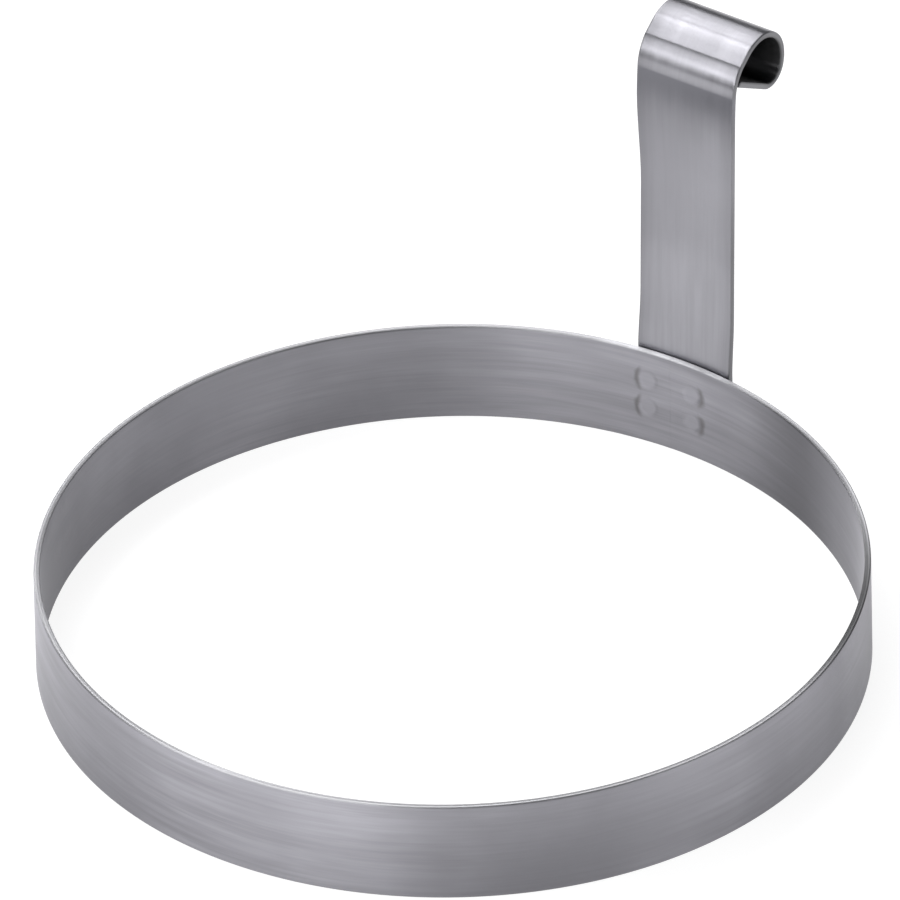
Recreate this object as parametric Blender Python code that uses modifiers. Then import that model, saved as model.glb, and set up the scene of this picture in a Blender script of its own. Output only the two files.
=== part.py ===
"""Egg ring: a rolled steel band and an upright strap handle whose top is rolled into a grip.

The band and the strap start as flat blanks and are formed the way the shop forms them. Four
spot welds hold the strap's foot to the band's outer wall, across the joint in the band.
Metres, +Z up. The band stands on Z = 0, and the handle is at +Y.
"""

import math

import bmesh
import bpy
from mathutils import Matrix, Vector
from mathutils.geometry import intersect_line_line_2d

MM = 0.001

# Sheet, and the clearance kept between faces that touch on the real ring
SHEET = 1.2 * MM
SEAT_GAP = 0.3 * MM
EDGE_ROUND = 0.25 * MM

# Band
RING_DIAMETER = 152.0 * MM
BAND_HEIGHT = 20.0 * MM
SEAM_GAP = 0.1 * MM

# Strap, from its foot up to the grip
STRAP_WIDTH = 20.0 * MM
FOOT_LIFT = 1.5 * MM
FOOT_FADE = 12.0 * MM
LEAN = math.radians(2.0)
LEAN_RADIUS = 60.0 * MM
UPRIGHT_LENGTH = 51.8 * MM
FLARE = 1.0 * MM
FLARE_START = 55.0 * MM
FLARE_END = 75.0 * MM

# Grip: each turn goes on round the same way, and each radius is of the inner face
SHOULDER_RADIUS = 90.0 * MM
SHOULDER_TURN = math.radians(4.0)
BEND_RADIUS = 7.5 * MM
BEND_TURN = math.radians(40.0)
CREASE_RADIUS = 1.2 * MM
CREASE_TURN = math.radians(9.0)
GRIP_FLAT = 2.5 * MM
ROLL_RADIUS = 6.5 * MM
ROLL_TURN = math.radians(143.0)
TUCK_RADIUS = 3.0 * MM
TUCK_TURN = math.radians(104.0)
TAIL_GAP = 0.4 * MM

# Spot welds: lens-shaped nuggets between the sheets, and the dish each electrode leaves
WELD_SIDE_MARGIN = 2.6 * MM
WELD_COLUMN_PITCH = 9.6 * MM
WELD_LOWER_HEIGHT = 7.8 * MM
WELD_ROW_PITCH = 6.0 * MM
NUGGET_DIAMETER = 3.6 * MM
NUGGET_THICKNESS = 1.0 * MM
NUGGET_GAP = 0.15 * MM
DISH_DIAMETER = 4.2 * MM
DISH_DEPTH = 0.15 * MM

# Fineness of the facets
BAND_STEPS = 96
STRAP_COLUMNS = 8
FADE_STEPS = 6
UPRIGHT_STEPS = 8
ARC_STEP = math.radians(12.0)
LENS_SEGMENTS = 20
LENS_RINGS = 8
SHARP_ANGLE = math.radians(30.0)

# Values that follow from the sizes above
RING_RADIUS = RING_DIAMETER / 2
BORE_RADIUS = RING_RADIUS - SHEET
SEAT_RADIUS = RING_RADIUS + SEAT_GAP
WELD_RADIUS = RING_RADIUS + SEAT_GAP / 2
WELD_LEFT = WELD_SIDE_MARGIN - STRAP_WIDTH / 2
SEAM_OFFSET = WELD_LEFT + WELD_COLUMN_PITCH / 2


def clear_scene():
    for item in list(bpy.data.objects):
        bpy.data.objects.remove(item, do_unlink=True)


def new_collection(name):
    collection = bpy.data.collections.new(name)
    bpy.context.scene.collection.children.link(collection)
    return collection


def steel(name, color, roughness):
    material = bpy.data.materials.new(name)
    material.use_nodes = True
    shader = material.node_tree.nodes["Principled BSDF"]
    shader.inputs["Base Color"].default_value = (*color, 1.0)
    shader.inputs["Roughness"].default_value = roughness
    shader.inputs["Metallic"].default_value = 1.0
    return material


def add_object(name, mesh, collection, parent, location=(0, 0, 0), turn=0.0):
    """Links an object at a place in its parent's frame, turned about the vertical."""
    item = bpy.data.objects.new(name, mesh)
    collection.objects.link(item)
    item.parent = parent
    item.location = location
    item.rotation_euler = (0.0, 0.0, turn)
    return item


def around(radius, angle, height):
    """A point about the ring's axis, with its angle clockwise from +Y."""
    return Vector((radius * math.sin(angle), radius * math.cos(angle), height))


def formed_blank(name, columns, rows, formed):
    """A flat grid whose every vertex goes to formed(across, along), both from 0 to 1."""
    blank = bmesh.new()
    bmesh.ops.create_grid(blank, x_segments=columns, y_segments=rows, size=0.5)
    for vertex in blank.verts:
        vertex.co = formed(vertex.co.x + 0.5, vertex.co.y + 0.5)
    mesh = bpy.data.meshes.new(name)
    blank.to_mesh(mesh)
    blank.free()
    return mesh


def give_thickness(item, side):
    """Thickens the blank to one side of its normals, and rounds the cut edges."""
    solidify = item.modifiers.new("sheet", "SOLIDIFY")
    solidify.thickness = SHEET
    solidify.offset = side
    solidify.use_even_offset = True
    solidify.use_quality_normals = True
    edges = item.modifiers.new("deburred_edges", "BEVEL")
    edges.width = EDGE_ROUND
    edges.segments = 2
    edges.limit_method = "ANGLE"
    edges.angle_limit = math.radians(60.0)


def cut_with(item, cutters):
    cut = item.modifiers.new("weld_marks", "BOOLEAN")
    cut.operation = "DIFFERENCE"
    cut.operand_type = "COLLECTION"
    cut.collection = cutters
    cut.solver = "EXACT"


def finish(item):
    """Applies the modifiers, then shades the rounds smooth and keeps the creases crisp."""
    graph = bpy.context.evaluated_depsgraph_get()
    formed = bpy.data.meshes.new_from_object(item.evaluated_get(graph))
    formed.name = item.name
    item.modifiers.clear()
    item.data = formed
    formed.shade_smooth()
    formed.set_sharp_from_angle(angle=SHARP_ANGLE)


def along(heading):
    """Unit vector of a run at this heading, as (outward, up). Heading 0 is straight up."""
    return Vector((math.sin(heading), math.cos(heading)))


def backward(heading):
    """Unit vector from the strap's front face to its back, square to the heading."""
    return Vector((math.cos(heading), -math.sin(heading)))


def run_straight(stations, length, steps=1):
    point, heading = stations[-1]
    for step in range(1, steps + 1):
        stations.append((point + along(heading) * (length * step / steps), heading))


def run_round(stations, inner_radius, turn):
    """Bends the strap backward, with this radius left on its back face."""
    point, heading = stations[-1]
    front_radius = inner_radius + SHEET
    centre = point + backward(heading) * front_radius
    steps = max(1, math.ceil(turn / ARC_STEP))
    for step in range(1, steps + 1):
        angle = heading + turn * step / steps
        stations.append((centre - backward(angle) * front_radius, angle))


def back_of(stations):
    return [point + backward(heading) * SHEET for point, heading in stations]


def tail_length(stations):
    """Room for a straight tail before either corner of its end comes to the strap's back."""
    point, heading = stations[-1]
    wall = back_of(stations)
    reach = 4 * ROLL_RADIUS
    room = reach
    for corner in (point, wall[-1]):
        far = corner + along(heading) * reach
        for lower, upper in zip(wall[:-2], wall[1:-1]):
            hit = intersect_line_line_2d(corner, far, lower, upper)
            if hit is not None:
                slant = abs(along(heading).dot((upper - lower).normalized().orthogonal()))
                room = min(room, (hit - corner).length - TAIL_GAP / slant)
    return room


def strap_stations():
    """The strap's front face from foot to tail, as (point, heading), outward and up."""
    stations = [(Vector((0.0, FOOT_LIFT)), 0.0)]
    run_straight(stations, BAND_HEIGHT - FOOT_LIFT)
    run_round(stations, LEAN_RADIUS, LEAN)
    run_straight(stations, FOOT_FADE, FADE_STEPS)
    run_straight(stations, UPRIGHT_LENGTH - FOOT_FADE, UPRIGHT_STEPS)
    run_round(stations, SHOULDER_RADIUS, SHOULDER_TURN)
    run_round(stations, BEND_RADIUS, BEND_TURN)
    run_round(stations, CREASE_RADIUS, CREASE_TURN)
    run_straight(stations, GRIP_FLAT)
    run_round(stations, ROLL_RADIUS, ROLL_TURN)
    run_round(stations, TUCK_RADIUS, TUCK_TURN)
    run_straight(stations, tail_length(stations))
    return stations


def eased(height, start, end):
    """Rises softly from 0 at the start height to 1 at the end height."""
    share = min(max((height - start) / (end - start), 0.0), 1.0)
    return share * share * (3.0 - 2.0 * share)


def foot_sag(sideways, height):
    """How far the foot's edges come inward to follow the band, fading out above its rim."""
    sag = SEAT_RADIUS - math.sqrt(SEAT_RADIUS**2 - sideways**2)
    return sag * (1.0 - eased(height, BAND_HEIGHT, BAND_HEIGHT + FOOT_FADE))


def make_band(collection, parent, material, cutters):
    """The strip rolled round, its two ends butted behind the strap's foot."""
    seam = SEAM_OFFSET / RING_RADIUS
    gap = SEAM_GAP / RING_RADIUS

    def rolled(across, up):
        """Carries a point of the flat strip to the band's outer wall."""
        angle = seam + gap / 2 + across * (2 * math.pi - gap)
        return around(RING_RADIUS, angle, BAND_HEIGHT * up)

    mesh = formed_blank("ring_band", BAND_STEPS, 1, rolled)
    band = add_object("ring_band", mesh, collection, parent)
    mesh.materials.append(material)
    give_thickness(band, side=1.0)
    cut_with(band, cutters)
    finish(band)


def make_strap(stations, collection, parent, material, cutters):
    """The strap: foot curved to the band, upright, bend, rolled grip and tucked tail.

    Its left side flares out below the grip.
    """
    rows = len(stations) - 1

    def bent(across, along_strip):
        """Carries a point of the flat strip to its place on the formed one."""
        (outward, height), _ = stations[round(along_strip * rows)]
        flare = FLARE * eased(height, FLARE_START, FLARE_END)
        sideways = (across - 0.5) * STRAP_WIDTH - flare * (1.0 - across)
        return sideways, outward - foot_sag(sideways, height), height

    mesh = formed_blank("handle_strap", STRAP_COLUMNS, rows, bent)
    place = (0.0, SEAT_RADIUS, 0.0)
    strap = add_object("handle_strap", mesh, collection, parent, place)
    mesh.materials.append(material)
    give_thickness(strap, side=-1.0)
    cut_with(strap, cutters)
    finish(strap)


def lens_mesh(name, diameter, thickness):
    """A flattened ball, thin along Y."""
    ball = bmesh.new()
    bmesh.ops.create_uvsphere(
        ball, u_segments=LENS_SEGMENTS, v_segments=LENS_RINGS, radius=0.5
    )
    on_its_side = Matrix.Rotation(math.radians(90.0), 3, "X")
    bmesh.ops.rotate(ball, matrix=on_its_side, verts=ball.verts)
    bmesh.ops.scale(ball, vec=(diameter, thickness, diameter), verts=ball.verts)
    mesh = bpy.data.meshes.new(name)
    ball.to_mesh(mesh)
    ball.free()
    return mesh


def weld_places():
    """Name, angle clockwise from +Y and height of each spot weld."""
    places = []
    for row, name_up in enumerate(("lower", "upper")):
        for column, name_side in enumerate(("left", "right")):
            offset = WELD_LEFT + WELD_COLUMN_PITCH * column
            height = WELD_LOWER_HEIGHT + WELD_ROW_PITCH * row
            places.append((f"{name_up}_{name_side}", offset / WELD_RADIUS, height))
    return places


def make_welds(collection, cutters, parent, material):
    nugget = lens_mesh("spot_weld", NUGGET_DIAMETER, NUGGET_THICKNESS)
    nugget.materials.append(material)
    room = 2 * NUGGET_GAP
    pocket = lens_mesh("nugget_pocket", NUGGET_DIAMETER + room, NUGGET_THICKNESS + room)
    dish = lens_mesh("electrode_dish", DISH_DIAMETER, 2 * DISH_DEPTH)
    outer_face = SEAT_RADIUS + SHEET
    cuts = (
        ("pocket", pocket, WELD_RADIUS),
        ("inner_dish", dish, BORE_RADIUS),
        ("outer_dish", dish, outer_face),
    )
    for name, angle, height in weld_places():
        place = around(WELD_RADIUS, angle, height)
        weld = add_object(f"spot_weld_{name}", nugget, collection, parent, place, -angle)
        finish(weld)
        for kind, mesh, radius in cuts:
            place = around(radius, angle, height)
            cutter = add_object(f"{kind}_{name}", mesh, cutters, parent, place, -angle)
            cutter.hide_render = True
            cutter.display_type = "WIRE"


def main():
    clear_scene()
    parts = new_collection("egg_ring")
    cutters = new_collection("egg_ring_cutters")
    cutters.hide_render = True
    stations = strap_stations()
    handle_reach = max(point.x for point, _ in stations) + SEAT_RADIUS
    axis = bpy.data.objects.new("ring_axis", None)
    parts.objects.link(axis)
    axis.location = (0.0, (RING_RADIUS - handle_reach) / 2, 0.0)
    band_steel = steel("band_steel", (0.40, 0.40, 0.42), 0.40)
    strap_steel = steel("strap_steel", (0.38, 0.38, 0.40), 0.34)
    weld_steel = steel("weld_steel", (0.30, 0.29, 0.29), 0.50)
    make_welds(parts, cutters, axis, weld_steel)
    make_band(parts, axis, band_steel, cutters)
    make_strap(stations, parts, axis, strap_steel, cutters)


main()
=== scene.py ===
"""Egg ring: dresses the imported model's band, handle strap and spot welds in brushed steel.

Each strip starts as a flat blank, lying along X with its thickness up Z. It is pressed at the
welds while it is flat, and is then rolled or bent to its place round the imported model. Its flat
coordinates stay on the mesh, so that the grain follows the strip round every bend.
"""

import math
from collections import namedtuple

import bmesh
import bpy
from bpy.props import FloatProperty, FloatVectorProperty, PointerProperty
from mathutils import Matrix, Vector
from mathutils.geometry import intersect_line_line_2d


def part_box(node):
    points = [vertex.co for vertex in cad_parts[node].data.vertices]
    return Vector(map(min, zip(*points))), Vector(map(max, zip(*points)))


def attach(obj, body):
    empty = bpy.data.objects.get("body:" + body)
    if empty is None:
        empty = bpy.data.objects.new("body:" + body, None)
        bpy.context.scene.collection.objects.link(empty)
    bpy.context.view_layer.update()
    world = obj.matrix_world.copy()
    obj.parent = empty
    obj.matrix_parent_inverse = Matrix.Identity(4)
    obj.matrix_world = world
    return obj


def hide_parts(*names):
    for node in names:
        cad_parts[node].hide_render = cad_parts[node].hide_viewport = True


bl_info = {
    "name": "Egg Ring",
    "version": (1, 0, 0),
    "blender": (4, 5, 0),
    "location": "View3D > Sidebar > Egg Ring",
    "description": "Builds a strip-steel egg ring with its rolled handle and spot welds",
    "category": "Add Mesh",
}

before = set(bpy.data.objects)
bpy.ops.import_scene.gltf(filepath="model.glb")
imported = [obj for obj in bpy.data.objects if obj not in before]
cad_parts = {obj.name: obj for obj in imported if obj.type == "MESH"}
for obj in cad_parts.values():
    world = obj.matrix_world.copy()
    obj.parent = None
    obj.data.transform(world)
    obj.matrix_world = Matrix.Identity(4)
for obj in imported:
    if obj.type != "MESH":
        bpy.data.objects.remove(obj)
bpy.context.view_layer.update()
band_low, band_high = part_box("ring_band")

MM = 0.001
BLANK = "blank"  # attribute: a point's place on the flat strip
STRIP_MAP = "strip"  # UV map: the same place, for the grain's direction
ROUNDING = 1e-6  # smaller differences come from rounding


def length(name, description, default):
    return FloatProperty(
        name=name, description=description, default=default, unit="LENGTH", precision=5
    )


def turn(name, description, degrees):
    return FloatProperty(
        name=name, description=description, default=math.radians(degrees), subtype="ANGLE"
    )


def share(name, description, default):
    return FloatProperty(
        name=name, description=description, default=default, min=0.0, max=1.0, subtype="FACTOR"
    )


def amount(name, description, default):
    return FloatProperty(name=name, description=description, default=default, min=0.0)


def colour(name, description, default):
    return FloatVectorProperty(
        name=name, description=description, default=default, min=0.0, max=1.0, subtype="COLOR"
    )


class EGGRING_PG_strip(bpy.types.PropertyGroup):
    """The steel strip that both pieces are cut from."""

    sheet: length("Sheet", "Thickness of the strip", 1.2 * MM)
    width: length("Strap Width", "Width of the handle's strip", 20.0 * MM)
    edge_round: length("Edge Round", "Radius of the deburred cut edges", 0.25 * MM)
    seat_gap: length("Seat Gap", "Room between the strap's foot and the band", 0.12 * MM)


class EGGRING_PG_band(bpy.types.PropertyGroup):
    """The rolled band."""

    diameter: length("Diameter", "Outside diameter of the ring", 152.0 * MM)
    height: length("Height", "Height of the band", band_high.z - band_low.z)
    seam_gap: length("Seam Gap", "Slit between the butted ends of the strip", 0.01 * MM)


class EGGRING_PG_handle(bpy.types.PropertyGroup):
    """The upright strap. Every radius is of the strip's inner face."""

    foot_lift: length("Foot Lift", "Height of the strap's lower end", 1.5 * MM)
    foot_fade: length("Foot Fade", "Length over which the foot's curve flattens", 12.0 * MM)
    lean: turn("Lean", "Outward lean of the upright", 2.0)
    lean_radius: length("Lean Radius", "Radius of the bend that gives the lean", 60.0 * MM)
    upright: length("Upright", "Straight length above the rim", 51.8 * MM)
    shoulder_radius: length("Shoulder Radius", "Radius of the slight curve above it", 90.0 * MM)
    shoulder_turn: turn("Shoulder Turn", "Turn of the slight curve", 4.0)
    flare: length("Flare", "How far the left side widens towards the grip", 1.0 * MM)
    flare_start: length("Flare Start", "Height where the flare starts", 55.0 * MM)
    flare_end: length("Flare End", "Height where the flare is full", 75.0 * MM)
    bend_radius: length("Bend Radius", "Radius of the bend below the grip", 7.5 * MM)
    bend_turn: turn("Bend Turn", "Turn of the bend below the grip", 40.0)
    crease_radius: length("Crease Radius", "Radius of the crease where the grip starts", 1.2 * MM)
    crease_turn: turn("Crease Turn", "Turn of the crease", 9.0)
    grip_flat: length("Grip Flat", "Flat between the crease and the roll", 2.5 * MM)
    roll_radius: length("Roll Radius", "Radius of the rolled grip", 6.5 * MM)
    roll_turn: turn("Roll Turn", "Turn of the rolled grip", 143.0)
    tuck_radius: length("Tuck Radius", "Radius where the tail turns in", 3.0 * MM)
    tuck_turn: turn("Tuck Turn", "Turn of the tail towards the bend", 104.0)
    tail_gap: length("Tail Gap", "Room between the tail and the bend", 0.4 * MM)


class EGGRING_PG_welds(bpy.types.PropertyGroup):
    """The spot welds, two columns by two rows."""

    side_margin: length("Side Margin", "Left weld column to the strap's side", 2.6 * MM)
    column_pitch: length("Column Pitch", "Distance between the weld columns", 9.6 * MM)
    lower_height: length("Lower Height", "Height of the lower row", 7.8 * MM)
    row_pitch: length("Row Pitch", "Distance between the weld rows", 6.0 * MM)
    nugget_diameter: length("Nugget Diameter", "Width of the fused metal", 3.6 * MM)
    nugget_thickness: length("Nugget Thickness", "Depth of the fused metal", 1.0 * MM)
    nugget_gap: length("Nugget Gap", "Room kept round each nugget", 0.15 * MM)
    dish_diameter: length("Dish Diameter", "Width of an electrode's mark", 4.2 * MM)
    dish_depth: length("Dish Depth", "Depth of an electrode's mark", 0.15 * MM)
    lip_height: length("Lip Height", "Height of the metal pushed up round a mark", 0.03 * MM)


class EGGRING_PG_finish(bpy.types.PropertyGroup):
    """Colours and grain of the steel. Places on a strip are measured along it from its start."""

    band_colour: colour("Band Colour", "Steel of the band", (0.420, 0.414, 0.450))
    rim_colour: colour("Rim Colour", "Worn metal of the band's rims", (0.36, 0.36, 0.37))
    band_roughness: share("Band Roughness", "Mean roughness of the band", 0.44)
    # Painted shade: the band's inner wall is darkened in its colour
    inner_wall: share("Inner Wall", "Painted shade: brightness of the band's inner wall by its outer", 0.81)
    # Painted shade: the band darker towards its lower rim
    lower_shade: share("Lower Shade", "Painted shade, darkest at the band's lower rim", 0.26)
    # Painted shade: a darker patch on the inner wall
    patch_shade: share("Patch Shade", "Painted shade on the inner wall beside the welds", 0.36)
    patch_place: length("Patch Place", "Middle of that patch, along the strip", 32.0 * MM)
    patch_reach: length("Patch Reach", "How far the patch fades out to each side", 18.0 * MM)
    # Painted shade: part of the band's rims darkened
    rim_shade_colour: colour("Rim Shade Colour", "Painted shade on the band's rims", (0.09, 0.09, 0.093))
    rim_shade_place: length("Rim Shade Place", "Middle of the shaded rim, along the strip", 93.0 * MM)
    rim_shade_reach: length("Rim Shade Reach", "How far the rim shade fades out to each side", 38.0 * MM)
    # Painted highlight: bright dashes on the rims by the seam
    rim_highlight_colour: colour("Rim Highlight Colour", "Painted highlight on the rim above the welds", (0.50, 0.50, 0.52))
    rim_highlight_reach: length("Rim Highlight Reach", "How far the bright rim runs from the seam", 16.0 * MM)

    strap_colour: colour("Strap Colour", "Steel of the strap", (0.370, 0.366, 0.396))
    edge_colour: colour("Edge Colour", "Sheared metal of the strap's edges", (0.23, 0.23, 0.24))
    strap_roughness: share("Strap Roughness", "Mean roughness of the strap", 0.34)
    foot_darkening: share("Foot Darkening", "Darkening of the strap towards its foot", 0.06)
    # Painted sheen: the strap's upper part lightened
    sheen_share: share("Sheen", "Painted sheen on the strap's upper part", 0.26)
    sheen_start: length("Sheen Start", "Where the painted sheen starts, along the strap", 43.0 * MM)
    sheen_end: length("Sheen End", "Where it is brightest", 62.0 * MM)
    side_shade: share("Side Shade", "Darkening of the strap's front along its sides", 0.16)
    # Painted shade: the strap darkened just below the bend
    bend_shade_colour: colour("Bend Shade Colour", "Painted shade below the bend", (0.23, 0.23, 0.255))
    bend_shade_reach: length("Bend Shade Reach", "How far the painted shade runs down", 10.0 * MM)
    # Painted shade: the inside of the grip darkened
    inside_shade_colour: colour("Inside Shade Colour", "Painted shade inside the grip", (0.13, 0.13, 0.135))

    weld_colour: colour("Weld Colour", "Dull fused metal", (0.30, 0.29, 0.29))
    # Oxide, and painted shade: kept to each weld mark's outer side
    oxide_and_shade_colour: colour("Heat Tint And Shade", "Heat tint and painted shade beside a spot weld", (0.15, 0.142, 0.138))

    stretch: share("Grain Stretch", "How far reflections spread across the grain", 0.87)
    streak_contrast: share("Streak Contrast", "Tone of the brush streaks by the steel's", 0.31)
    streak_shift: length("Streak Shift", "Start of the streaks' pattern", 0.9)
    blotch_shift: length("Blotch Shift", "Start of the blotches' pattern", 1.9)
    grain_length: length("Grain Length", "Length of one brush line", 22.0 * MM)
    grain_width: length("Grain Width", "Width of one brush line", 0.3 * MM)
    grain_depth: length("Grain Depth", "Depth of the brush lines", 0.004 * MM)


class EGGRING_PG_studio(bpy.types.PropertyGroup):
    """Camera, floor and light."""

    azimuth: turn("Camera Azimuth", "Camera's angle from the front", 34.8)
    elevation: turn("Camera Elevation", "Camera's angle above the floor", 35.13)
    roll: turn("Camera Roll", "Tilt of the camera", 1.32)
    lens: amount("Focal Length", "Focal length in millimetres", 1500.0)
    sensor: amount("Sensor Width", "Width of the sensor in millimetres", 36.0)
    pixels_per_metre: amount("Scale", "Pixels of the frame per metre at the ring", 5503.8)
    floor_colour: colour("Floor Colour", "Pale floor", (0.28, 0.28, 0.28))
    floor_glow: amount("Floor White", "Strength that lifts the seen floor to white", 0.86)
    world_colour: colour("Surroundings", "Colour of the room", (0.80, 0.82, 0.86))
    world_strength: amount("Surroundings Strength", "Brightness of the room", 0.15)


class EGGRING_PG_settings(bpy.types.PropertyGroup):
    """Everything that can be set on the egg ring."""

    strip: PointerProperty(type=EGGRING_PG_strip, name="Strip")
    band: PointerProperty(type=EGGRING_PG_band, name="Band")
    handle: PointerProperty(type=EGGRING_PG_handle, name="Handle")
    welds: PointerProperty(type=EGGRING_PG_welds, name="Spot Welds")
    finish: PointerProperty(type=EGGRING_PG_finish, name="Finish")
    studio: PointerProperty(type=EGGRING_PG_studio, name="Studio")


# Shaping of a strip

SHARP_TURN = math.radians(40.0)  # edges that turn more are shaded sharp
CUT_TURN = 1.0  # radians: edges of a raw blank that turn more were cut
EDGE_SEGMENTS = 3  # faces across a deburred edge
FINE_STEP = 0.3 * MM  # grid step under a weld mark
ONE_STEP = 1.0  # longer than any run, which so gets a single step
WALL_SHARE = 0.32  # width of an electrode mark's wall by the mark's radius
LIP_SHARE = 0.4  # width of the lip round the mark by the same
PRESS_REACH = 4.0 * MM  # whatever is pressed in is flat beyond this


def eased(value, start, end):
    """Rises softly from 0 at the start to 1 at the end."""
    part = min(max((value - start) / (end - start), 0.0), 1.0)
    return part * part * (3.0 - 2.0 * part)


def stops(start, *runs):
    """Grid positions from start on, through runs of (end, longest step)."""
    places = [start]
    for end, step in runs:
        begin = places[-1]
        steps = max(1, math.ceil((end - begin) / step - ROUNDING))
        places += [begin + (end - begin) * i / steps for i in range(1, steps + 1)]
    return places


def runs_along(edge):
    """Whether a flat strip's edge runs along it and not across or through it."""
    first, second = (vertex.co for vertex in edge.verts)
    return abs(first.y - second.y) < ROUNDING and abs(first.z - second.z) < ROUNDING


def flat_blank(alongs, acrosses, strip, round_ends=True):
    """A flat strip with rounded cut edges, its grid lines at the given places."""
    blank = bmesh.new()
    columns, rows = len(alongs) - 1, len(acrosses) - 1
    bmesh.ops.create_grid(blank, x_segments=columns, y_segments=rows, size=0.5)
    for vertex in blank.verts:
        across = acrosses[round((vertex.co.y + 0.5) * rows)]
        vertex.co = (alongs[round((vertex.co.x + 0.5) * columns)], across, 0.0)
    bmesh.ops.solidify(blank, geom=blank.faces[:], thickness=strip.sheet)
    lowest = min(vertex.co.z for vertex in blank.verts)
    bmesh.ops.translate(blank, vec=(0.0, 0.0, -lowest), verts=blank.verts)
    cut_edges = [
        edge for edge in blank.edges
        if edge.calc_face_angle(0.0) > CUT_TURN and (round_ends or runs_along(edge))
    ]
    bmesh.ops.bevel(
        blank, geom=cut_edges, offset=strip.edge_round, offset_type="OFFSET",
        segments=EDGE_SEGMENTS, profile=0.5, affect="EDGES", material=-1, clamp_overlap=False,
    )
    keep_flat_coordinates(blank)
    return blank


def keep_flat_coordinates(blank):
    """Stores where each point lies on the flat strip, for the grain and its direction."""
    flat = blank.verts.layers.float_vector.new(BLANK)
    for vertex in blank.verts:
        vertex[flat] = vertex.co
    strip = blank.loops.layers.uv.new(STRIP_MAP)
    for face in blank.faces:
        for corner in face.loops:
            corner[strip].uv = corner.vert.co.xy


def dish_profile(radius, welds):
    """Depth of an electrode's mark at a radius: a flat floor, a soft wall, a slight lip."""
    edge = welds.dish_diameter / 2
    if radius < edge:
        return welds.dish_depth * eased(edge - radius, 0.0, WALL_SHARE * edge)
    lip = (radius - edge) / (LIP_SHARE * edge)
    return -welds.lip_height * math.sin(math.pi * lip) if lip < 1.0 else 0.0


def pocket_profile(radius, welds, seat_gap):
    """Depth of the hollow that a nugget fills in a sheet's seat side."""
    half_width = welds.nugget_diameter / 2 + welds.nugget_gap
    half_depth = welds.nugget_thickness / 2 + welds.nugget_gap
    if radius >= half_width:
        return 0.0
    return max(0.0, half_depth * math.sqrt(1.0 - (radius / half_width) ** 2) - seat_gap / 2)


def press(blank, centres, level, inward, profile):
    """Presses the profile into one face of the blank, at each centre."""
    for vertex in blank.verts:
        if abs(vertex.co.z - level) > ROUNDING:
            continue
        for centre in centres:
            radius = (vertex.co.xy - centre).length
            if radius < PRESS_REACH:
                vertex.co.z += inward * profile(radius)


def press_welds(blank, centres, settings):
    """Presses the electrodes' marks into the open face, and the pockets into the seat."""
    welds, strip = settings.welds, settings.strip
    press(blank, centres, strip.sheet, -1.0, lambda r: dish_profile(r, welds))
    press(blank, centres, 0.0, 1.0, lambda r: pocket_profile(r, welds, strip.seat_gap))


def form(blank, placed):
    """Carries every point of the pressed blank to its place on the object."""
    for vertex in blank.verts:
        vertex.co = placed(*vertex.co)
    if blank.calc_volume(signed=True) < 0.0:
        bmesh.ops.reverse_faces(blank, faces=blank.faces)
    for face in blank.faces:
        face.smooth = True
    for edge in blank.edges:
        edge.smooth = edge.calc_face_angle(0.0) < SHARP_TURN


def add_piece(name, shape, material, slot_name, *nodes):
    """Makes the mesh a piece that stands for these nodes and rides on the body."""
    mesh = bpy.data.meshes.new(name)
    shape.to_mesh(mesh)
    shape.free()
    mesh.materials.append(material)
    piece = bpy.data.objects.new(name, mesh)
    bpy.context.scene.collection.objects.link(piece)
    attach(piece, "root")
    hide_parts(*nodes)


def ring_axis():
    """Where the ring's axis meets the floor."""
    return Vector(((band_low.x + band_high.x) / 2, (band_low.y + band_high.y) / 2, 0.0))


def weld_columns(settings):
    """Sideways places of the two weld columns from the strap's middle."""
    left = settings.welds.side_margin - settings.strip.width / 2
    return left, left + settings.welds.column_pitch


def weld_rows(settings):
    """Heights of the two weld rows above the floor."""
    lower = settings.welds.lower_height
    return lower, lower + settings.welds.row_pitch


# Band

def build_band(settings):
    """The strip pressed at the welds and rolled, its ends butted behind the strap."""
    band, welds, strip = settings.band, settings.welds, settings.strip
    radius, half = band.diameter / 2, band.height / 2
    total = math.pi * band.diameter - band.seam_gap
    lower, upper = (row - half for row in weld_rows(settings))
    along_step, across_step, rim_inset = 1.25 * MM, 1.4 * MM, 0.6 * MM
    beyond_column, beyond_row = 3.6 * MM, 3.2 * MM
    zone = welds.column_pitch / 2 + beyond_column
    alongs = stops(0.0, (zone, FINE_STEP), (total - zone, along_step), (total, FINE_STEP))
    acrosses = stops(
        -half, (-half + rim_inset, ONE_STEP), (lower - beyond_row, across_step),
        (upper + beyond_row, FINE_STEP), (half - rim_inset, across_step), (half, ONE_STEP),
    )
    blank = flat_blank(alongs, acrosses, strip, round_ends=False)
    from_end = (welds.column_pitch - band.seam_gap) / 2
    centres = [Vector((x, y)) for x in (from_end, total - from_end) for y in (lower, upper)]
    press_welds(blank, centres, settings)
    seam = sum(weld_columns(settings)) / 2 / radius
    slit = band.seam_gap / radius
    axis = ring_axis()

    def rolled(along, across, depth):
        angle = seam + slit / 2 + along / total * (2 * math.pi - slit)
        out = radius - depth
        return axis + Vector((out * math.sin(angle), out * math.cos(angle), across + half))

    form(blank, rolled)
    return blank


# Strap

Run = namedtuple("Run", "start length point heading radius")
# Longest grid step on each run in millimetres, from the foot to the tail
RUN_STEPS = (0.8, 0.6, 1.5, 0.6, 0.4, 0.1, 0.7, 0.5, 0.4, 1.2)
BEND = 4  # number of the run that bends the upright towards the grip
WALL_POINTS = 400  # points that stand for the strap's back, which its tail mustn't touch
TAIL_LIMIT = 30.0 * MM


def heading_vector(heading):
    """Unit vector of a run at this heading, as (outward, up). Heading 0 is straight up."""
    return Vector((math.sin(heading), math.cos(heading)))


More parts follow.
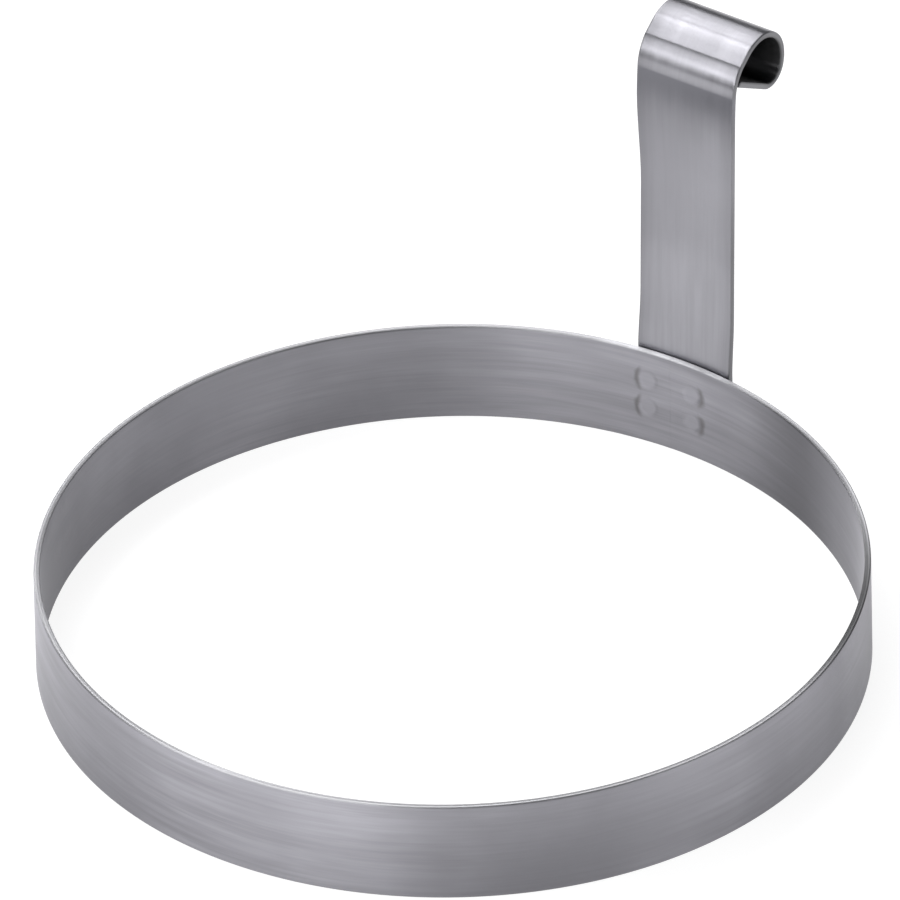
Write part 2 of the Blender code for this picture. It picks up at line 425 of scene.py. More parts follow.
def backward(heading):
    """Unit vector from the seat face through the sheet, for a run at this heading."""
    return Vector((math.cos(heading), -math.sin(heading)))


def place_on(run, distance):
    """Point and heading on a run's seat face, at a distance from its start."""
    if run.radius is None:
        return run.point + heading_vector(run.heading) * distance, run.heading
    heading = run.heading + distance / run.radius
    centre = run.point + backward(run.heading) * run.radius
    return centre - backward(heading) * run.radius, heading


def add_run(runs, length_of_run, radius=None):
    last = runs[-1]
    point, heading = place_on(last, last.length)
    runs.append(Run(last.start + last.length, length_of_run, point, heading, radius))


def add_bend(runs, inner_radius, turned, sheet):
    add_run(runs, (inner_radius + sheet) * turned, inner_radius + sheet)


def place_at(runs, along):
    """Point and heading on the seat face of the whole strap, at a distance from its foot."""
    run = [run for run in runs if run.start <= along + ROUNDING][-1]
    return place_on(run, along - run.start)


def tail_room(runs, sheet, tail_gap):
    """Length of a straight tail that stops short of the strap's own back face."""
    end = runs[-1].start + runs[-1].length
    wall = []
    for i in range(WALL_POINTS):
        point, heading = place_at(runs, end * i / WALL_POINTS)
        wall.append(point + backward(heading) * sheet)
    point, heading = place_at(runs, end)
    ahead = heading_vector(heading)
    room = TAIL_LIMIT
    for corner in (point, point + backward(heading) * sheet):
        far = corner + ahead * TAIL_LIMIT
        for lower, upper in zip(wall[:-2], wall[1:-1]):
            hit = intersect_line_line_2d(corner, far, lower, upper)
            if hit is not None:
                side = (upper - lower).normalized().orthogonal()
                room = min(room, (hit - corner).length - tail_gap / abs(ahead.dot(side)))
    return room


def handle_runs(settings):
    """The strap's straights and bends, from its foot to its tail."""
    handle, sheet = settings.handle, settings.strip.sheet
    foot = settings.band.height - handle.foot_lift
    runs = [Run(0.0, foot, Vector((0.0, handle.foot_lift)), 0.0, None)]
    add_bend(runs, handle.lean_radius, handle.lean, sheet)
    add_run(runs, handle.upright)
    add_bend(runs, handle.shoulder_radius, handle.shoulder_turn, sheet)
    add_bend(runs, handle.bend_radius, handle.bend_turn, sheet)
    add_bend(runs, handle.crease_radius, handle.crease_turn, sheet)
    add_run(runs, handle.grip_flat)
    add_bend(runs, handle.roll_radius, handle.roll_turn, sheet)
    add_bend(runs, handle.tuck_radius, handle.tuck_turn, sheet)
    add_run(runs, tail_room(runs, sheet, handle.tail_gap))
    return runs


def strap_blank(settings, runs):
    """The handle's flat strip, its grid fine at the welds and in the bends."""
    half = settings.strip.width / 2
    left, right = weld_columns(settings)
    lower, upper = (row - settings.handle.foot_lift for row in weld_rows(settings))
    middle_step, side_step, inset = 0.6 * MM, 0.9 * MM, 0.5 * MM
    beyond_column, beyond_row = 2.8 * MM, 3.0 * MM
    acrosses = stops(
        -half, (left + beyond_column, FINE_STEP), (right - beyond_column, middle_step),
        (right + beyond_column, FINE_STEP), (half - inset, side_step), (half, ONE_STEP),
    )
    steps = [step * MM for step in RUN_STEPS]
    foot = [(lower - beyond_row, steps[0]), (upper + beyond_row, FINE_STEP)]
    ends = [(run.start + run.length, step) for run, step in zip(runs, steps)]
    total = ends[-1][0]
    ends[-1] = (total - inset, steps[-1])
    alongs = stops(0.0, (inset, ONE_STEP), *foot, *ends, (total, ONE_STEP))
    blank = flat_blank(alongs, acrosses, settings.strip)
    centres = [Vector((x, y)) for x in (lower, upper) for y in (left, right)]
    press_welds(blank, centres, settings)
    return blank


def build_strap(settings):
    """The pressed strip, its foot curved to the band, then bent and rolled."""
    handle, strip, rim = settings.handle, settings.strip, settings.band.height
    seat_radius = settings.band.diameter / 2 + strip.seat_gap
    seat = ring_axis() + Vector((0.0, seat_radius, 0.0))
    runs = handle_runs(settings)
    blank = strap_blank(settings, runs)

    def bent(along, across, depth):
        (outward, up), heading = place_at(runs, along)
        curve = 1.0 - eased(up, rim, rim + handle.foot_fade)
        sag = (seat_radius - math.sqrt(seat_radius**2 - across**2)) * curve
        tilt = math.asin(across / seat_radius) * curve
        back = backward(heading)
        thick = Vector((math.sin(tilt), back.x * math.cos(tilt), back.y)) * depth
        flare = handle.flare * eased(up, handle.flare_start, handle.flare_end)
        sideways = across - flare * (0.5 - across / strip.width)
        return seat + Vector((sideways, outward - sag, up)) + thick

    form(blank, bent)
    return blank


# Shader groups

FLOAT, VECTOR = "NodeSocketFloat", "NodeSocketVector"
MIX_FACTOR, MIX_FIRST, MIX_SECOND, MIX_RESULT = 0, 6, 7, 2  # colour sockets of a Mix node
BLACK, WHITE = (0.0, 0.0, 0.0, 1.0), (1.0, 1.0, 1.0, 1.0)


class NodeBuilder:
    """Adds nodes to a tree and joins them, one line for each."""

    def __init__(self, tree):
        self.tree = tree

    def add(self, kind, inputs=None, **settings):
        node = self.tree.nodes.new(kind)
        for name, value in settings.items():
            setattr(node, name, value)
        for key, value in (inputs or {}).items():
            self.join(node, key, value)
        return node

    def join(self, node, key, value):
        if isinstance(value, bpy.types.NodeSocket):
            self.tree.links.new(value, node.inputs[key])
        else:
            node.inputs[key].default_value = value

    def math(self, operation, *values, clamp=False):
        inputs = dict(enumerate(values))
        node = self.add("ShaderNodeMath", inputs, operation=operation, use_clamp=clamp)
        return node.outputs[0]

    def vector(self, operation, *values):
        inputs = dict(enumerate(values))
        node = self.add("ShaderNodeVectorMath", inputs, operation=operation)
        return node.outputs["Vector"]

    def noise(self, vector, **values):
        inputs = {key.capitalize(): value for key, value in values.items()}
        return self.add("ShaderNodeTexNoise", {"Vector": vector, **inputs}).outputs["Fac"]

    def ramp(self, value, low, high, to_low=0.0, to_high=1.0):
        """Value carried from low..high to to_low..to_high on a soft curve."""
        inputs = {"Value": value, "From Min": low, "From Max": high, "To Min": to_low,
                  "To Max": to_high}
        node = self.add("ShaderNodeMapRange", inputs, interpolation_type="SMOOTHSTEP")
        return node.outputs["Result"]

    def near(self, value, middle, core, reach, strength=1.0):
        """Strength within the core of a middle value, and a soft fade to 0 at its reach."""
        apart = self.math("ABSOLUTE", self.math("SUBTRACT", value, middle))
        return self.ramp(apart, core, reach, strength, 0.0)

    def mix(self, factor, first, second):
        inputs = {MIX_FACTOR: factor, MIX_FIRST: first, MIX_SECOND: second}
        return self.add("ShaderNodeMix", inputs, data_type="RGBA").outputs[MIX_RESULT]

    def group(self, name, inputs):
        return self.add("ShaderNodeGroup", inputs, node_tree=group_named(name)).outputs


def new_group(name, inputs, outputs):
    """An empty node group. inputs gives each number's default, and None for a vector."""
    tree = bpy.data.node_groups.new(name, "ShaderNodeTree")
    for socket_name, default in inputs.items():
        kind = VECTOR if default is None else FLOAT
        socket = tree.interface.new_socket(socket_name, in_out="INPUT", socket_type=kind)
        if default is not None:
            socket.default_value = default
    for socket_name in outputs:
        tree.interface.new_socket(socket_name, in_out="OUTPUT", socket_type=FLOAT)
    build = NodeBuilder(tree)
    return build, build.add("NodeGroupInput").outputs, build.add("NodeGroupOutput")


def grain_group():
    """Brush lines along X of the flat strip: broad streaks, and a height of fine lines."""
    inputs = {"Vector": None, "Broad Vector": None, "Line Length": 22.0 * MM,
              "Line Width": 0.3 * MM}
    build, given, result = new_group("Strip Grain", inputs, ("Streaks", "Height"))
    layers = []
    # Each layer's coordinates, its length and width by one line's, and its detail
    for source, lengthen, widen, detail in (
        ("Broad Vector", 1.3, 11.0, 3.0), ("Broad Vector", 1.2, 3.2, 2.0),
        ("Vector", 1.0, 1.0, 3.0), ("Vector", 0.5, 0.33, 2.0),
    ):
        along = build.math("MULTIPLY", given["Line Length"], lengthen)
        across = build.math("MULTIPLY", given["Line Width"], widen)
        size = build.add("ShaderNodeCombineXYZ", {0: along, 1: across, 2: along}).outputs[0]
        place = build.vector("DIVIDE", given[source], size)
        layers.append(build.noise(place, scale=1.0, detail=detail, roughness=0.55))
    broadest, broad, lines, fine_lines = layers
    broadest_range, broad_range = (0.3, 0.7), (0.2, 0.8)
    broad = build.ramp(broad, *broad_range)
    bands = build.math("ADD", build.ramp(broadest, *broadest_range), broad)
    streaks = build.math("ADD", bands, lines)
    build.join(result, "Streaks", build.math("DIVIDE", streaks, 3.0))
    height = build.math("ADD", lines, fine_lines)
    build.join(result, "Height", build.math("MULTIPLY", height, 0.5))
    return build.tree


def cut_edge_group():
    """Mask of the strip's long cut edges, from its flat coordinates."""
    inputs = {"Vector": None, "Half Width": 10.0 * MM, "Margin": 0.4 * MM}
    build, given, result = new_group("Cut Edge", inputs, ("Mask",))
    across = build.add("ShaderNodeSeparateXYZ", {0: given["Vector"]}).outputs["Y"]
    inset = build.math("SUBTRACT", given["Half Width"], build.math("ABSOLUTE", across))
    build.join(result, "Mask", build.ramp(inset, 0.0, given["Margin"], 1.0, 0.0))
    return build.tree


def weld_group():
    """Masks of four spot welds on the flat strip: the pressed floor, and beside it oxide and
    painted shade.
    """
    inputs = {"Vector": None, "Centre": None, "Half Pitch": None, "Outward": None,
              "Dish Radius": 2.1 * MM}
    build, given, result = new_group("Spot Weld Marks", inputs, ("Floor", "Oxide And Shade"))
    # Ranges of the distance from a weld's middle, by the dish's radius
    floor_edge, outer_side = (0.55, 1.0), (0.45, 1.1)
    oxide_and_shade_rise, oxide_and_shade_fall = (0.7, 1.15), (1.15, 1.6)
    ragged_scale, ragged_swing = 500.0, 0.4
    away = build.vector("ABSOLUTE", build.vector("SUBTRACT", given["Vector"], given["Centre"]))
    local = build.vector("SUBTRACT", away, given["Half Pitch"])
    flat = build.vector("MULTIPLY", local, (1.0, 1.0, 0.0))
    distance = build.add("ShaderNodeVectorMath", {0: flat}, operation="LENGTH").outputs["Value"]
    ragged = build.noise(given["Vector"], scale=ragged_scale)
    shift = build.math("MULTIPLY_ADD", ragged, ragged_swing, 1.0 - ragged_swing / 2)
    ratio = build.math("DIVIDE", build.math("MULTIPLY", distance, shift), given["Dish Radius"])
    build.join(result, "Floor", build.ramp(ratio, *floor_edge, 1.0, 0.0))
    # The oxide ring, kept to each mark's outer side, is also painted shade of the dish
    fading = build.ramp(ratio, *oxide_and_shade_fall, 1.0, 0.0)
    ring = build.math("MULTIPLY", build.ramp(ratio, *oxide_and_shade_rise), fading)
    turned = {0: local, 1: given["Outward"]}
    outer = build.add("ShaderNodeVectorMath", turned, operation="DOT_PRODUCT").outputs["Value"]
    side = build.ramp(build.math("DIVIDE", outer, given["Dish Radius"]), *outer_side)
    build.join(result, "Oxide And Shade", build.math("MULTIPLY", ring, side))
    return build.tree


def bend_shade_group():
    """Mask of the painted shade in the zone below a bend."""
    inputs = {"Vector": None, "Bend Start": 80.0 * MM, "Reach": 8.0 * MM}
    build, given, result = new_group("Bend Shade", inputs, ("Mask",))
    upper_edge = (-0.2 * MM, 0.4 * MM)
    along = build.add("ShaderNodeSeparateXYZ", {0: given["Vector"]}).outputs["X"]
    before = build.math("SUBTRACT", given["Bend Start"], along)
    fading = build.ramp(before, 0.0, given["Reach"], 1.0, 0.0)
    reached = build.ramp(before, *upper_edge)
    build.join(result, "Mask", build.math("MULTIPLY", fading, reached))
    return build.tree


def handling_group():
    """Soft blotches where the steel has been handled and wiped."""
    inputs = {"Vector": None, "Size": 30.0 * MM}
    build, given, result = new_group("Handling Marks", inputs, ("Blotch",))
    blotch_range = (0.3, 0.7)
    scale = build.math("DIVIDE", 1.0, given["Size"])
    blotch = build.noise(given["Vector"], scale=scale, detail=3.0, roughness=0.5)
    build.join(result, "Blotch", build.ramp(blotch, *blotch_range))
    return build.tree


def group_named(name):
    """A shared shader group, built the first time that it is asked for."""
    makers = {
        "Strip Grain": grain_group, "Cut Edge": cut_edge_group,
        "Spot Weld Marks": weld_group, "Handling Marks": handling_group,
        "Bend Shade": bend_shade_group,
    }
    return bpy.data.node_groups.get(name) or makers[name]()


# Materials

BLOTCH_SIZE, DASH_SIZE = 30.0 * MM, 6.0 * MM  # of the walls' blotches and the rim's dashes of painted highlight
EDGE_MARGIN, SIDE_MARGIN = 0.35 * MM, 4.0 * MM  # widths of a cut edge and of a shaded side
BACK_OF_SHEET = (0.6, 0.9)  # depths, by the sheet's, between which its back begins
STRAP_CONTRAST = 0.6  # of the strap's streaks, by the band's
# Shares of each effect's colour in the steel, and tones by the steel's own colour
BLOTCH_SHARE, OXIDE_AND_SHADE_SHARE, FLOOR_SHARE, CUT_SHARE, BEND_SHADE_SHARE = 0.45, 0.6, 0.5, 0.8, 0.9
BLOTCH_TONE, FLOOR_TONE, SHEEN_TONE = 0.8, 1.2, 1.6
LOWER_SHADE_REACH = 1.2  # ends of the painted lower shade's fade, by the band's half height
RIM_SHADE_CORE, RIM_HIGHLIGHT_CORE = 0.1, 0.6  # full parts of the rims' painted shade and painted highlight, by their reach
FOOT_CORE = 0.5  # end of the foot's full darkening, by where the painted sheen starts
SHEEN_FADE = (15.0 * MM, 4.0 * MM)  # distances below the bend between which it ends
INSIDE_SHADE_FADE = 8.0 * MM  # length past the bend over which the painted shade inside the grip begins
STREAK_ROUGHNESS, BLOTCH_ROUGHNESS, FLOOR_ROUGHNESS, CUT_ROUGHNESS = 0.16, 0.05, 0.08, 0.06
QUARTER_TURN = 0.25  # turns the stretched reflections across the grain

Strip = namedtuple("Strip", (
    "colour", "edge_colour", "roughness", "contrast", "half_width",
    "weld_centre", "weld_half_pitch", "weld_outward",
))
Masks = namedtuple("Masks", "flat wrapped along across back grain blotch cut weld")


def opaque(rgb, tone=1.0):
    """The colour made lighter or darker, with an alpha of 1."""
    return (*(tone * channel for channel in rgb), 1.0)


def new_material(name):
    material = bpy.data.materials.new(name)
    material.use_nodes = True
    tree = material.node_tree
    return material, NodeBuilder(tree), tree.nodes["Principled BSDF"]


def strip_masks(build, strip, settings, round_length=None):
    """Coordinates and masks of a strip. On a ring of a given length they pass the seam."""
    finish, sheet = settings.finish, settings.strip.sheet
    flat = build.add("ShaderNodeAttribute", attribute_name=BLANK).outputs["Vector"]
    spread = build.add("ShaderNodeTexCoord").outputs["Object"]
    broad, wrapped = flat, flat
    if round_length:
        at = build.add("ShaderNodeSeparateXYZ", {0: spread}).outputs
        height = build.math("ADD", at["Z"], finish.streak_shift)
        round_ring = {0: at["X"], 1: height, 2: at["Y"]}
        broad = build.add("ShaderNodeCombineXYZ", round_ring).outputs[0]
        half = round_length / 2
        wrapped = build.vector("WRAP", flat, (half, 1.0, 1.0), (-half, -1.0, -1.0))
    lifted = build.vector("ADD", spread, (0.0, 0.0, finish.blotch_shift))
    place = build.add("ShaderNodeSeparateXYZ", {0: flat}).outputs
    grain = build.group("Strip Grain", {
        "Vector": flat, "Broad Vector": broad,
        "Line Length": finish.grain_length, "Line Width": finish.grain_width,
    })
    cut = build.group("Cut Edge", {
        "Vector": flat, "Half Width": strip.half_width, "Margin": EDGE_MARGIN,
    })
    weld = build.group("Spot Weld Marks", {
        "Vector": wrapped, "Centre": strip.weld_centre, "Half Pitch": strip.weld_half_pitch,
        "Outward": strip.weld_outward, "Dish Radius": settings.welds.dish_diameter / 2,
    })
    return Masks(
        flat=flat, wrapped=wrapped, along=place["X"], across=place["Y"],
        back=build.ramp(place["Z"], *(part * sheet for part in BACK_OF_SHEET)),
        grain=grain, cut=cut["Mask"], weld=weld,
        blotch=build.group("Handling Marks", {"Vector": lifted, "Size": BLOTCH_SIZE})["Blotch"],
    )


def brushed_steel(build, strip, masks, finish):
    """Colour of a strip with its streaks, blotches, weld marks and cut edges."""
    dark = opaque(strip.colour, 1.0 - strip.contrast)
    light = opaque(strip.colour, 1.0 + strip.contrast)
    steel = build.mix(masks.grain["Streaks"], dark, light)
    # The oxide mask also paints shade on each weld mark's outer side
    for mask, part, tint in (
        (masks.blotch, BLOTCH_SHARE, opaque(strip.colour, BLOTCH_TONE)),
        (masks.weld["Oxide And Shade"], OXIDE_AND_SHADE_SHARE, opaque(finish.oxide_and_shade_colour)),
        (masks.weld["Floor"], FLOOR_SHARE, opaque(strip.colour, FLOOR_TONE)),
        (masks.cut, CUT_SHARE, opaque(strip.edge_colour)),
    ):
        steel = build.mix(build.math("MULTIPLY", mask, part), steel, tint)
    return steel


def band_painted_light(build, steel, strip, masks, finish):
    """Painted shade on the inner wall, lower part, a patch by the welds and the rims; a painted
    rim highlight.
    """
    # Painted shade: the inner wall's colour is darkened
    inner_wall_shade = build.math("MULTIPLY", masks.back, 1.0 - finish.inner_wall)
    steel = build.mix(inner_wall_shade, steel, BLACK)
    # Painted shade: darker towards the lower rim
    reach = LOWER_SHADE_REACH * strip.half_width
    darker_below = build.ramp(masks.across, -reach, reach, finish.lower_shade, 0.0)
    steel = build.mix(darker_below, steel, BLACK)
    # Painted shade: a darker patch on the inner wall beside the welds
    along, place, reach = masks.along, finish.patch_place, finish.patch_reach
    patch = build.near(along, place, 0.0, reach, finish.patch_shade)
    steel = build.mix(build.math("MULTIPLY", patch, masks.back), steel, BLACK)
    # Painted shade: part of the rims darkened
    shaded_rim = build.near(along, finish.rim_shade_place, RIM_SHADE_CORE * finish.rim_shade_reach, finish.rim_shade_reach)
    steel = build.mix(build.math("MULTIPLY", shaded_rim, masks.cut), steel, opaque(finish.rim_shade_colour))
    # Painted highlight: bright dashes on the rims beside the seam
    from_seam = build.add("ShaderNodeSeparateXYZ", {0: masks.wrapped}).outputs["X"]
    lit_rim = build.near(from_seam, 0.0, RIM_HIGHLIGHT_CORE * finish.rim_highlight_reach, finish.rim_highlight_reach)
    dashes = build.group("Handling Marks", {"Vector": masks.flat, "Size": DASH_SIZE})["Blotch"]
    lit_rim = build.math("MULTIPLY", build.math("MULTIPLY", lit_rim, masks.cut), dashes)
    return build.mix(lit_rim, steel, opaque(finish.rim_highlight_colour))


def strap_tones_and_painted_light(build, steel, strip, masks, finish, bend_start):
    """The strap's darker foot, painted sheen, and painted shade on its sides, below the bend and
    in its grip.
    """
    along, start = masks.along, finish.sheen_start
    # The strap's colour darker towards its foot
    darker_below = build.ramp(along, FOOT_CORE * start, start, finish.foot_darkening, 0.0)
    steel = build.mix(darker_below, steel, BLACK)
    # Painted sheen: a lighter band on the strap below the bend
    lifted = build.ramp(along, start, finish.sheen_end, 0.0, finish.sheen_share)
    below = build.ramp(along, *(bend_start - room for room in SHEEN_FADE), 1.0, 0.0)
    sheen_mask = build.math("MULTIPLY", lifted, below)
    steel = build.mix(sheen_mask, steel, opaque(strip.colour, SHEEN_TONE))
    sides = {"Vector": masks.flat, "Half Width": strip.half_width, "Margin": SIDE_MARGIN}
    shaded = build.math("MULTIPLY", build.group("Cut Edge", sides)["Mask"], finish.side_shade)
    steel = build.mix(shaded, steel, BLACK)
    # Painted shade: the zone just below the bend darkened
    bend_inputs = {"Vector": masks.flat, "Bend Start": bend_start, "Reach": finish.bend_shade_reach}
    mark = build.math("MULTIPLY", build.group("Bend Shade", bend_inputs)["Mask"], BEND_SHADE_SHARE)
    steel = build.mix(mark, steel, opaque(finish.bend_shade_colour))
    # Painted shade: the inside of the grip darkened
    rolled = build.ramp(along, bend_start, bend_start + INSIDE_SHADE_FADE)
    inside = build.math("MULTIPLY", masks.back, rolled)
    return build.mix(inside, steel, opaque(finish.inside_shade_colour))


def brush(build, shader, strip, masks, finish):
    """Gives the shader the grain's roughness, its lines and its stretched reflections."""
    mean = strip.roughness - STREAK_ROUGHNESS / 2
    rough = build.math("MULTIPLY_ADD", masks.grain["Streaks"], STREAK_ROUGHNESS, mean)
    for mask, rougher in (
        (masks.blotch, BLOTCH_ROUGHNESS), (masks.weld["Floor"], FLOOR_ROUGHNESS),
        (masks.cut, CUT_ROUGHNESS),
    ):
        rough = build.math("MULTIPLY_ADD", mask, rougher, rough)
    build.join(shader, "Roughness", rough)
    bump = {"Height": masks.grain["Height"], "Distance": finish.grain_depth, "Strength": 1.0}
    build.join(shader, "Normal", build.add("ShaderNodeBump", bump).outputs["Normal"])
    tangent = build.add("ShaderNodeTangent", direction_type="UV_MAP", uv_map=STRIP_MAP)
    build.join(shader, "Tangent", tangent.outputs["Tangent"])
    shader.inputs["Metallic"].default_value = 1.0
    shader.inputs["Anisotropic"].default_value = finish.stretch
    shader.inputs["Anisotropic Rotation"].default_value = QUARTER_TURN


def band_steel(settings):
    """Brushed steel whose grain and marks follow the band over its seam."""
    finish, welds, height = settings.finish, settings.welds, settings.band.height
    strip = Strip(
        colour=finish.band_colour, edge_colour=finish.rim_colour,
        roughness=finish.band_roughness, contrast=finish.streak_contrast,
        half_width=height / 2, weld_centre=(0.0, (sum(weld_rows(settings)) - height) / 2, 0.0),
        weld_half_pitch=(welds.column_pitch / 2, welds.row_pitch / 2, 0.0),
        weld_outward=(1.0, 0.0, 0.0),
    )
    material, build, shader = new_material("band_steel")
    masks = strip_masks(build, strip, settings, round_length=math.pi * settings.band.diameter)
    steel = brushed_steel(build, strip, masks, finish)
    build.join(shader, "Base Color", band_painted_light(build, steel, strip, masks, finish))
    brush(build, shader, strip, masks, finish)
    return material


def strap_steel(settings):
    """Brushed steel whose grain and marks follow the strap round its bends."""
    finish, welds = settings.finish, settings.welds
    up_strip = sum(weld_rows(settings)) / 2 - settings.handle.foot_lift
    strip = Strip(
        colour=finish.strap_colour, edge_colour=finish.edge_colour,
        roughness=finish.strap_roughness, contrast=STRAP_CONTRAST * finish.streak_contrast,
        half_width=settings.strip.width / 2,
        weld_centre=(up_strip, sum(weld_columns(settings)) / 2, 0.0),
        weld_half_pitch=(welds.row_pitch / 2, welds.column_pitch / 2, 0.0),
        weld_outward=(0.0, 1.0, 0.0),
    )
    material, build, shader = new_material("strap_steel")
    masks = strip_masks(build, strip, settings)
    steel = brushed_steel(build, strip, masks, finish)
    steel = strap_tones_and_painted_light(build, steel, strip, masks, finish, handle_runs(settings)[BEND].start)
    build.join(shader, "Base Color", steel)
    brush(build, shader, strip, masks, finish)
    return material


def weld_metal(settings):
    """Dull, heat-darkened metal of a weld nugget."""
    grit_scale, grit_depth, grit_strength = 2500.0, 0.02 * MM, 0.6
    scorched_tone, grit_range, rough_range = 0.6, (0.3, 0.7), (0.45, 0.65)
    base = settings.finish.weld_colour
    material, build, shader = new_material("weld_metal")
    place = build.add("ShaderNodeTexCoord").outputs["Object"]
    grit = build.noise(place, scale=grit_scale, detail=4.0)
    metal = build.mix(grit, opaque(base, scorched_tone), opaque(base))
    build.join(shader, "Base Color", metal)
    build.join(shader, "Roughness", build.ramp(grit, *grit_range, *rough_range))
    bump = {"Height": grit, "Distance": grit_depth, "Strength": grit_strength}
    build.join(shader, "Normal", build.add("ShaderNodeBump", bump).outputs["Normal"])
    shader.inputs["Metallic"].default_value = 1.0
    return material


# Studio

PHOTO_SIDE = 900  # pixels
RING_RIGHT, RING_UP = 4.2, -203.2  # pixels from the frame's middle to the ring's, on the floor
NEAR_CLIP, FAR_CLIP = 0.05, 60.0
SOFTBOX_DISTANCE = 1.3
FLOOR_RADIUS, FLOOR_CORNERS, FLOOR_DROP = 3.0, 128, 0.05 * MM
FLOOR_DULLNESS = 0.9

# Softboxes: name, azimuth from the camera, elevation, width, height, power
SOFTBOXES = (
    ("left_softbox", -68.0, 27.0, 0.90, 0.34, 3.5),
    ("left_upper_softbox", -68.0, 42.0, 0.90, 0.22, 2.2),
    ("left_front_softbox", -30.0, 20.0, 0.62, 0.38, 4.6),
    ("left_back_softbox", -150.0, 20.0, 0.62, 0.38, 4.5),
    ("overhead_front_softbox", -40.0, 70.0, 0.70, 0.40, 2.0),
    ("overhead_left_softbox", -118.0, 64.0, 0.60, 0.30, 4.1),
    ("overhead_softbox", -150.0, 66.0, 0.60, 0.30, 1.8),
    ("overhead_back_softbox", -175.0, 58.0, 0.60, 0.30, 2.5),
    ("back_upper_softbox", 172.0, 46.0, 0.60, 0.30, 1.2),
    ("back_softbox", 180.0, 30.0, 0.60, 0.30, 1.6),
    ("right_softbox", 60.0, 20.0, 0.62, 0.38, 1.7),
)


def view_axes(azimuth, elevation):
    """Right, up and back vectors of a level camera."""
    right = Vector((math.cos(azimuth), math.sin(azimuth), 0.0))
    low, high = math.cos(elevation), math.sin(elevation)
    back = Vector((math.sin(azimuth) * low, -math.cos(azimuth) * low, high))
    return right, back.cross(right), back


def stood_at(point, right, up, back):
    """Matrix of a camera or lamp at a point, from its own axes."""
    return Matrix.Translation(point) @ Matrix((right, up, back)).transposed().to_4x4()


def add_camera(studio):
    """The camera at the photograph's angle, a long lens far back."""
    right, up, back = view_axes(studio.azimuth, studio.elevation)
    tilt = studio.roll
    rolled_right = right * math.cos(tilt) - up * math.sin(tilt)
    rolled_up = right * math.sin(tilt) + up * math.cos(tilt)
    data = bpy.data.cameras.new("camera")
    data.lens = studio.lens
    data.sensor_width = studio.sensor
    data.clip_start, data.clip_end = NEAR_CLIP, FAR_CLIP
    distance = studio.lens / studio.sensor * PHOTO_SIDE / studio.pixels_per_metre
    centre = ring_axis() + back * distance
    centre -= (rolled_right * RING_RIGHT + rolled_up * RING_UP) / studio.pixels_per_metre
    camera = bpy.data.objects.new("camera", data)
    camera.matrix_world = stood_at(centre, rolled_right, rolled_up, back)
    bpy.context.scene.collection.objects.link(camera)
    bpy.context.scene.camera = camera


def add_softbox(camera_azimuth, name, azimuth, elevation, width, height, power):
    """A rectangular lamp that faces the ring and isn't seen itself."""
    turned = camera_azimuth + math.radians(azimuth)
    right, up, back = view_axes(turned, math.radians(elevation))
    data = bpy.data.lights.new(name, "AREA")
    data.shape = "RECTANGLE"
    data.size, data.size_y = width, height
    data.energy = power
    lamp = bpy.data.objects.new(name, data)
    lamp.matrix_world = stood_at(ring_axis() + back * SOFTBOX_DISTANCE, right, up, back)
    lamp.visible_camera = False
    bpy.context.scene.collection.objects.link(lamp)


def add_floor(studio):
    """A pale floor, white where it is seen or mirrored, that keeps the ring's shadow."""
    disc = bmesh.new()
    bmesh.ops.create_circle(disc, cap_ends=True, segments=FLOOR_CORNERS, radius=FLOOR_RADIUS)
    bmesh.ops.translate(disc, vec=(0.0, 0.0, -FLOOR_DROP), verts=disc.verts)
    mesh = bpy.data.meshes.new("floor")
    disc.to_mesh(mesh)
    disc.free()
    material, build, shader = new_material("floor_pale")
    paths = build.add("ShaderNodeLightPath").outputs
    seen = build.math("ADD", paths["Is Camera Ray"], paths["Is Glossy Ray"], clamp=True)
    seen = build.math("ADD", seen, paths["Is Transmission Ray"], clamp=True)
    shader.inputs["Base Color"].default_value = opaque(studio.floor_colour)
    shader.inputs["Roughness"].default_value = FLOOR_DULLNESS
    shader.inputs["Specular IOR Level"].default_value = 0.0
    shader.inputs["Emission Color"].default_value = WHITE
    build.join(shader, "Emission Strength", build.math("MULTIPLY", seen, studio.floor_glow))
    mesh.materials.append(material)
    floor = bpy.data.objects.new("floor", mesh)
    bpy.context.scene.collection.objects.link(floor)


def light_room(scene, studio):
    """The room's own faint light, and the softboxes round the ring."""
    world = bpy.data.worlds.new("room")
    world.use_nodes = True
    background = world.node_tree.nodes["Background"]
    background.inputs["Color"].default_value = opaque(studio.world_colour)
    background.inputs["Strength"].default_value = studio.world_strength
    scene.world = world
    for softbox in SOFTBOXES:
        add_softbox(studio.azimuth, *softbox)


# Operators

class EGGRING_OT_stage(bpy.types.Operator):
    """Add the floor, the softboxes and the camera"""

    bl_idname = "egg_ring.stage"
    bl_label = "Studio"

    def execute(self, context):
        studio = context.scene.egg_ring.studio
        add_camera(studio)
        add_floor(studio)
        light_room(context.scene, studio)
        context.scene.view_settings.view_transform = "Standard"
        return {"FINISHED"}


class EGGRING_OT_band(bpy.types.Operator):
    """Roll the band and finish it in brushed steel"""

    bl_idname = "egg_ring.band"
    bl_label = "Ring Band"

    def execute(self, context):
        settings = context.scene.egg_ring
        steel = band_steel(settings)
        add_piece("ring_band_rolled", build_band(settings), steel, "band_steel", "ring_band")
        return {"FINISHED"}


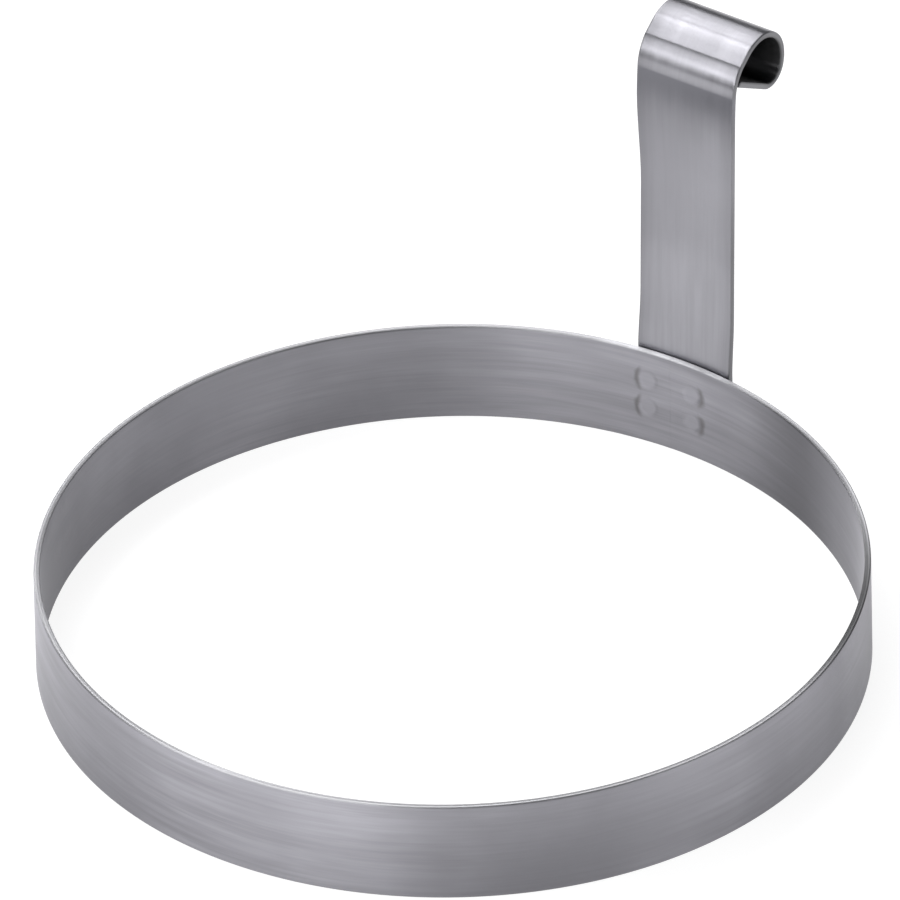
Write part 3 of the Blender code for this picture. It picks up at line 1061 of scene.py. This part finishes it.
class EGGRING_OT_strap(bpy.types.Operator):
    """Bend the handle strap and finish it in brushed steel"""

    bl_idname = "egg_ring.strap"
    bl_label = "Handle Strap"

    def execute(self, context):
        settings = context.scene.egg_ring
        steel = strap_steel(settings)
        add_piece("handle_strap_bent", build_strap(settings), steel, "strap_steel", "handle_strap")
        return {"FINISHED"}


class EGGRING_OT_welds(bpy.types.Operator):
    """Give the spot-weld nuggets between the sheets their dull metal"""

    bl_idname = "egg_ring.welds"
    bl_label = "Spot Welds"

    def execute(self, context):
        nuggets = [node for name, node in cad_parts.items() if name.startswith("spot_weld")]
        if not nuggets:
            raise RuntimeError("the packed model has no spot welds")
        metal = weld_metal(context.scene.egg_ring)
        for nugget in nuggets:
            nugget.data.materials.clear()
            nugget.data.materials.append(metal)
        return {"FINISHED"}


class EGGRING_PT_sidebar(bpy.types.Panel):
    """Sizes, finishes and steps of the egg ring"""

    bl_idname = "EGGRING_PT_sidebar"
    bl_label = "Egg Ring"
    bl_space_type = "VIEW_3D"
    bl_region_type = "UI"
    bl_category = "Egg Ring"

    def draw(self, context):
        settings = context.scene.egg_ring
        for group_name in ("strip", "band", "handle", "welds", "finish", "studio"):
            group = getattr(settings, group_name)
            box = self.layout.box()
            box.label(text=settings.bl_rna.properties[group_name].name)
            for key in group.__annotations__:
                box.prop(group, key)
        for step in STEPS:
            self.layout.operator(step.bl_idname)


STEPS = (EGGRING_OT_stage, EGGRING_OT_band, EGGRING_OT_strap, EGGRING_OT_welds)
CLASSES = (
    EGGRING_PG_strip, EGGRING_PG_band, EGGRING_PG_handle, EGGRING_PG_welds,
    EGGRING_PG_finish, EGGRING_PG_studio, EGGRING_PG_settings, *STEPS, EGGRING_PT_sidebar,
)


def register():
    for item in CLASSES:
        bpy.utils.register_class(item)
    bpy.types.Scene.egg_ring = PointerProperty(type=EGGRING_PG_settings)


def unregister():
    del bpy.types.Scene.egg_ring
    for item in reversed(CLASSES):
        bpy.utils.unregister_class(item)


def main():
    register()
    for step in STEPS:
        group, name = step.bl_idname.split(".")
        getattr(getattr(bpy.ops, group), name)()


if __name__ == "__main__":
    main()
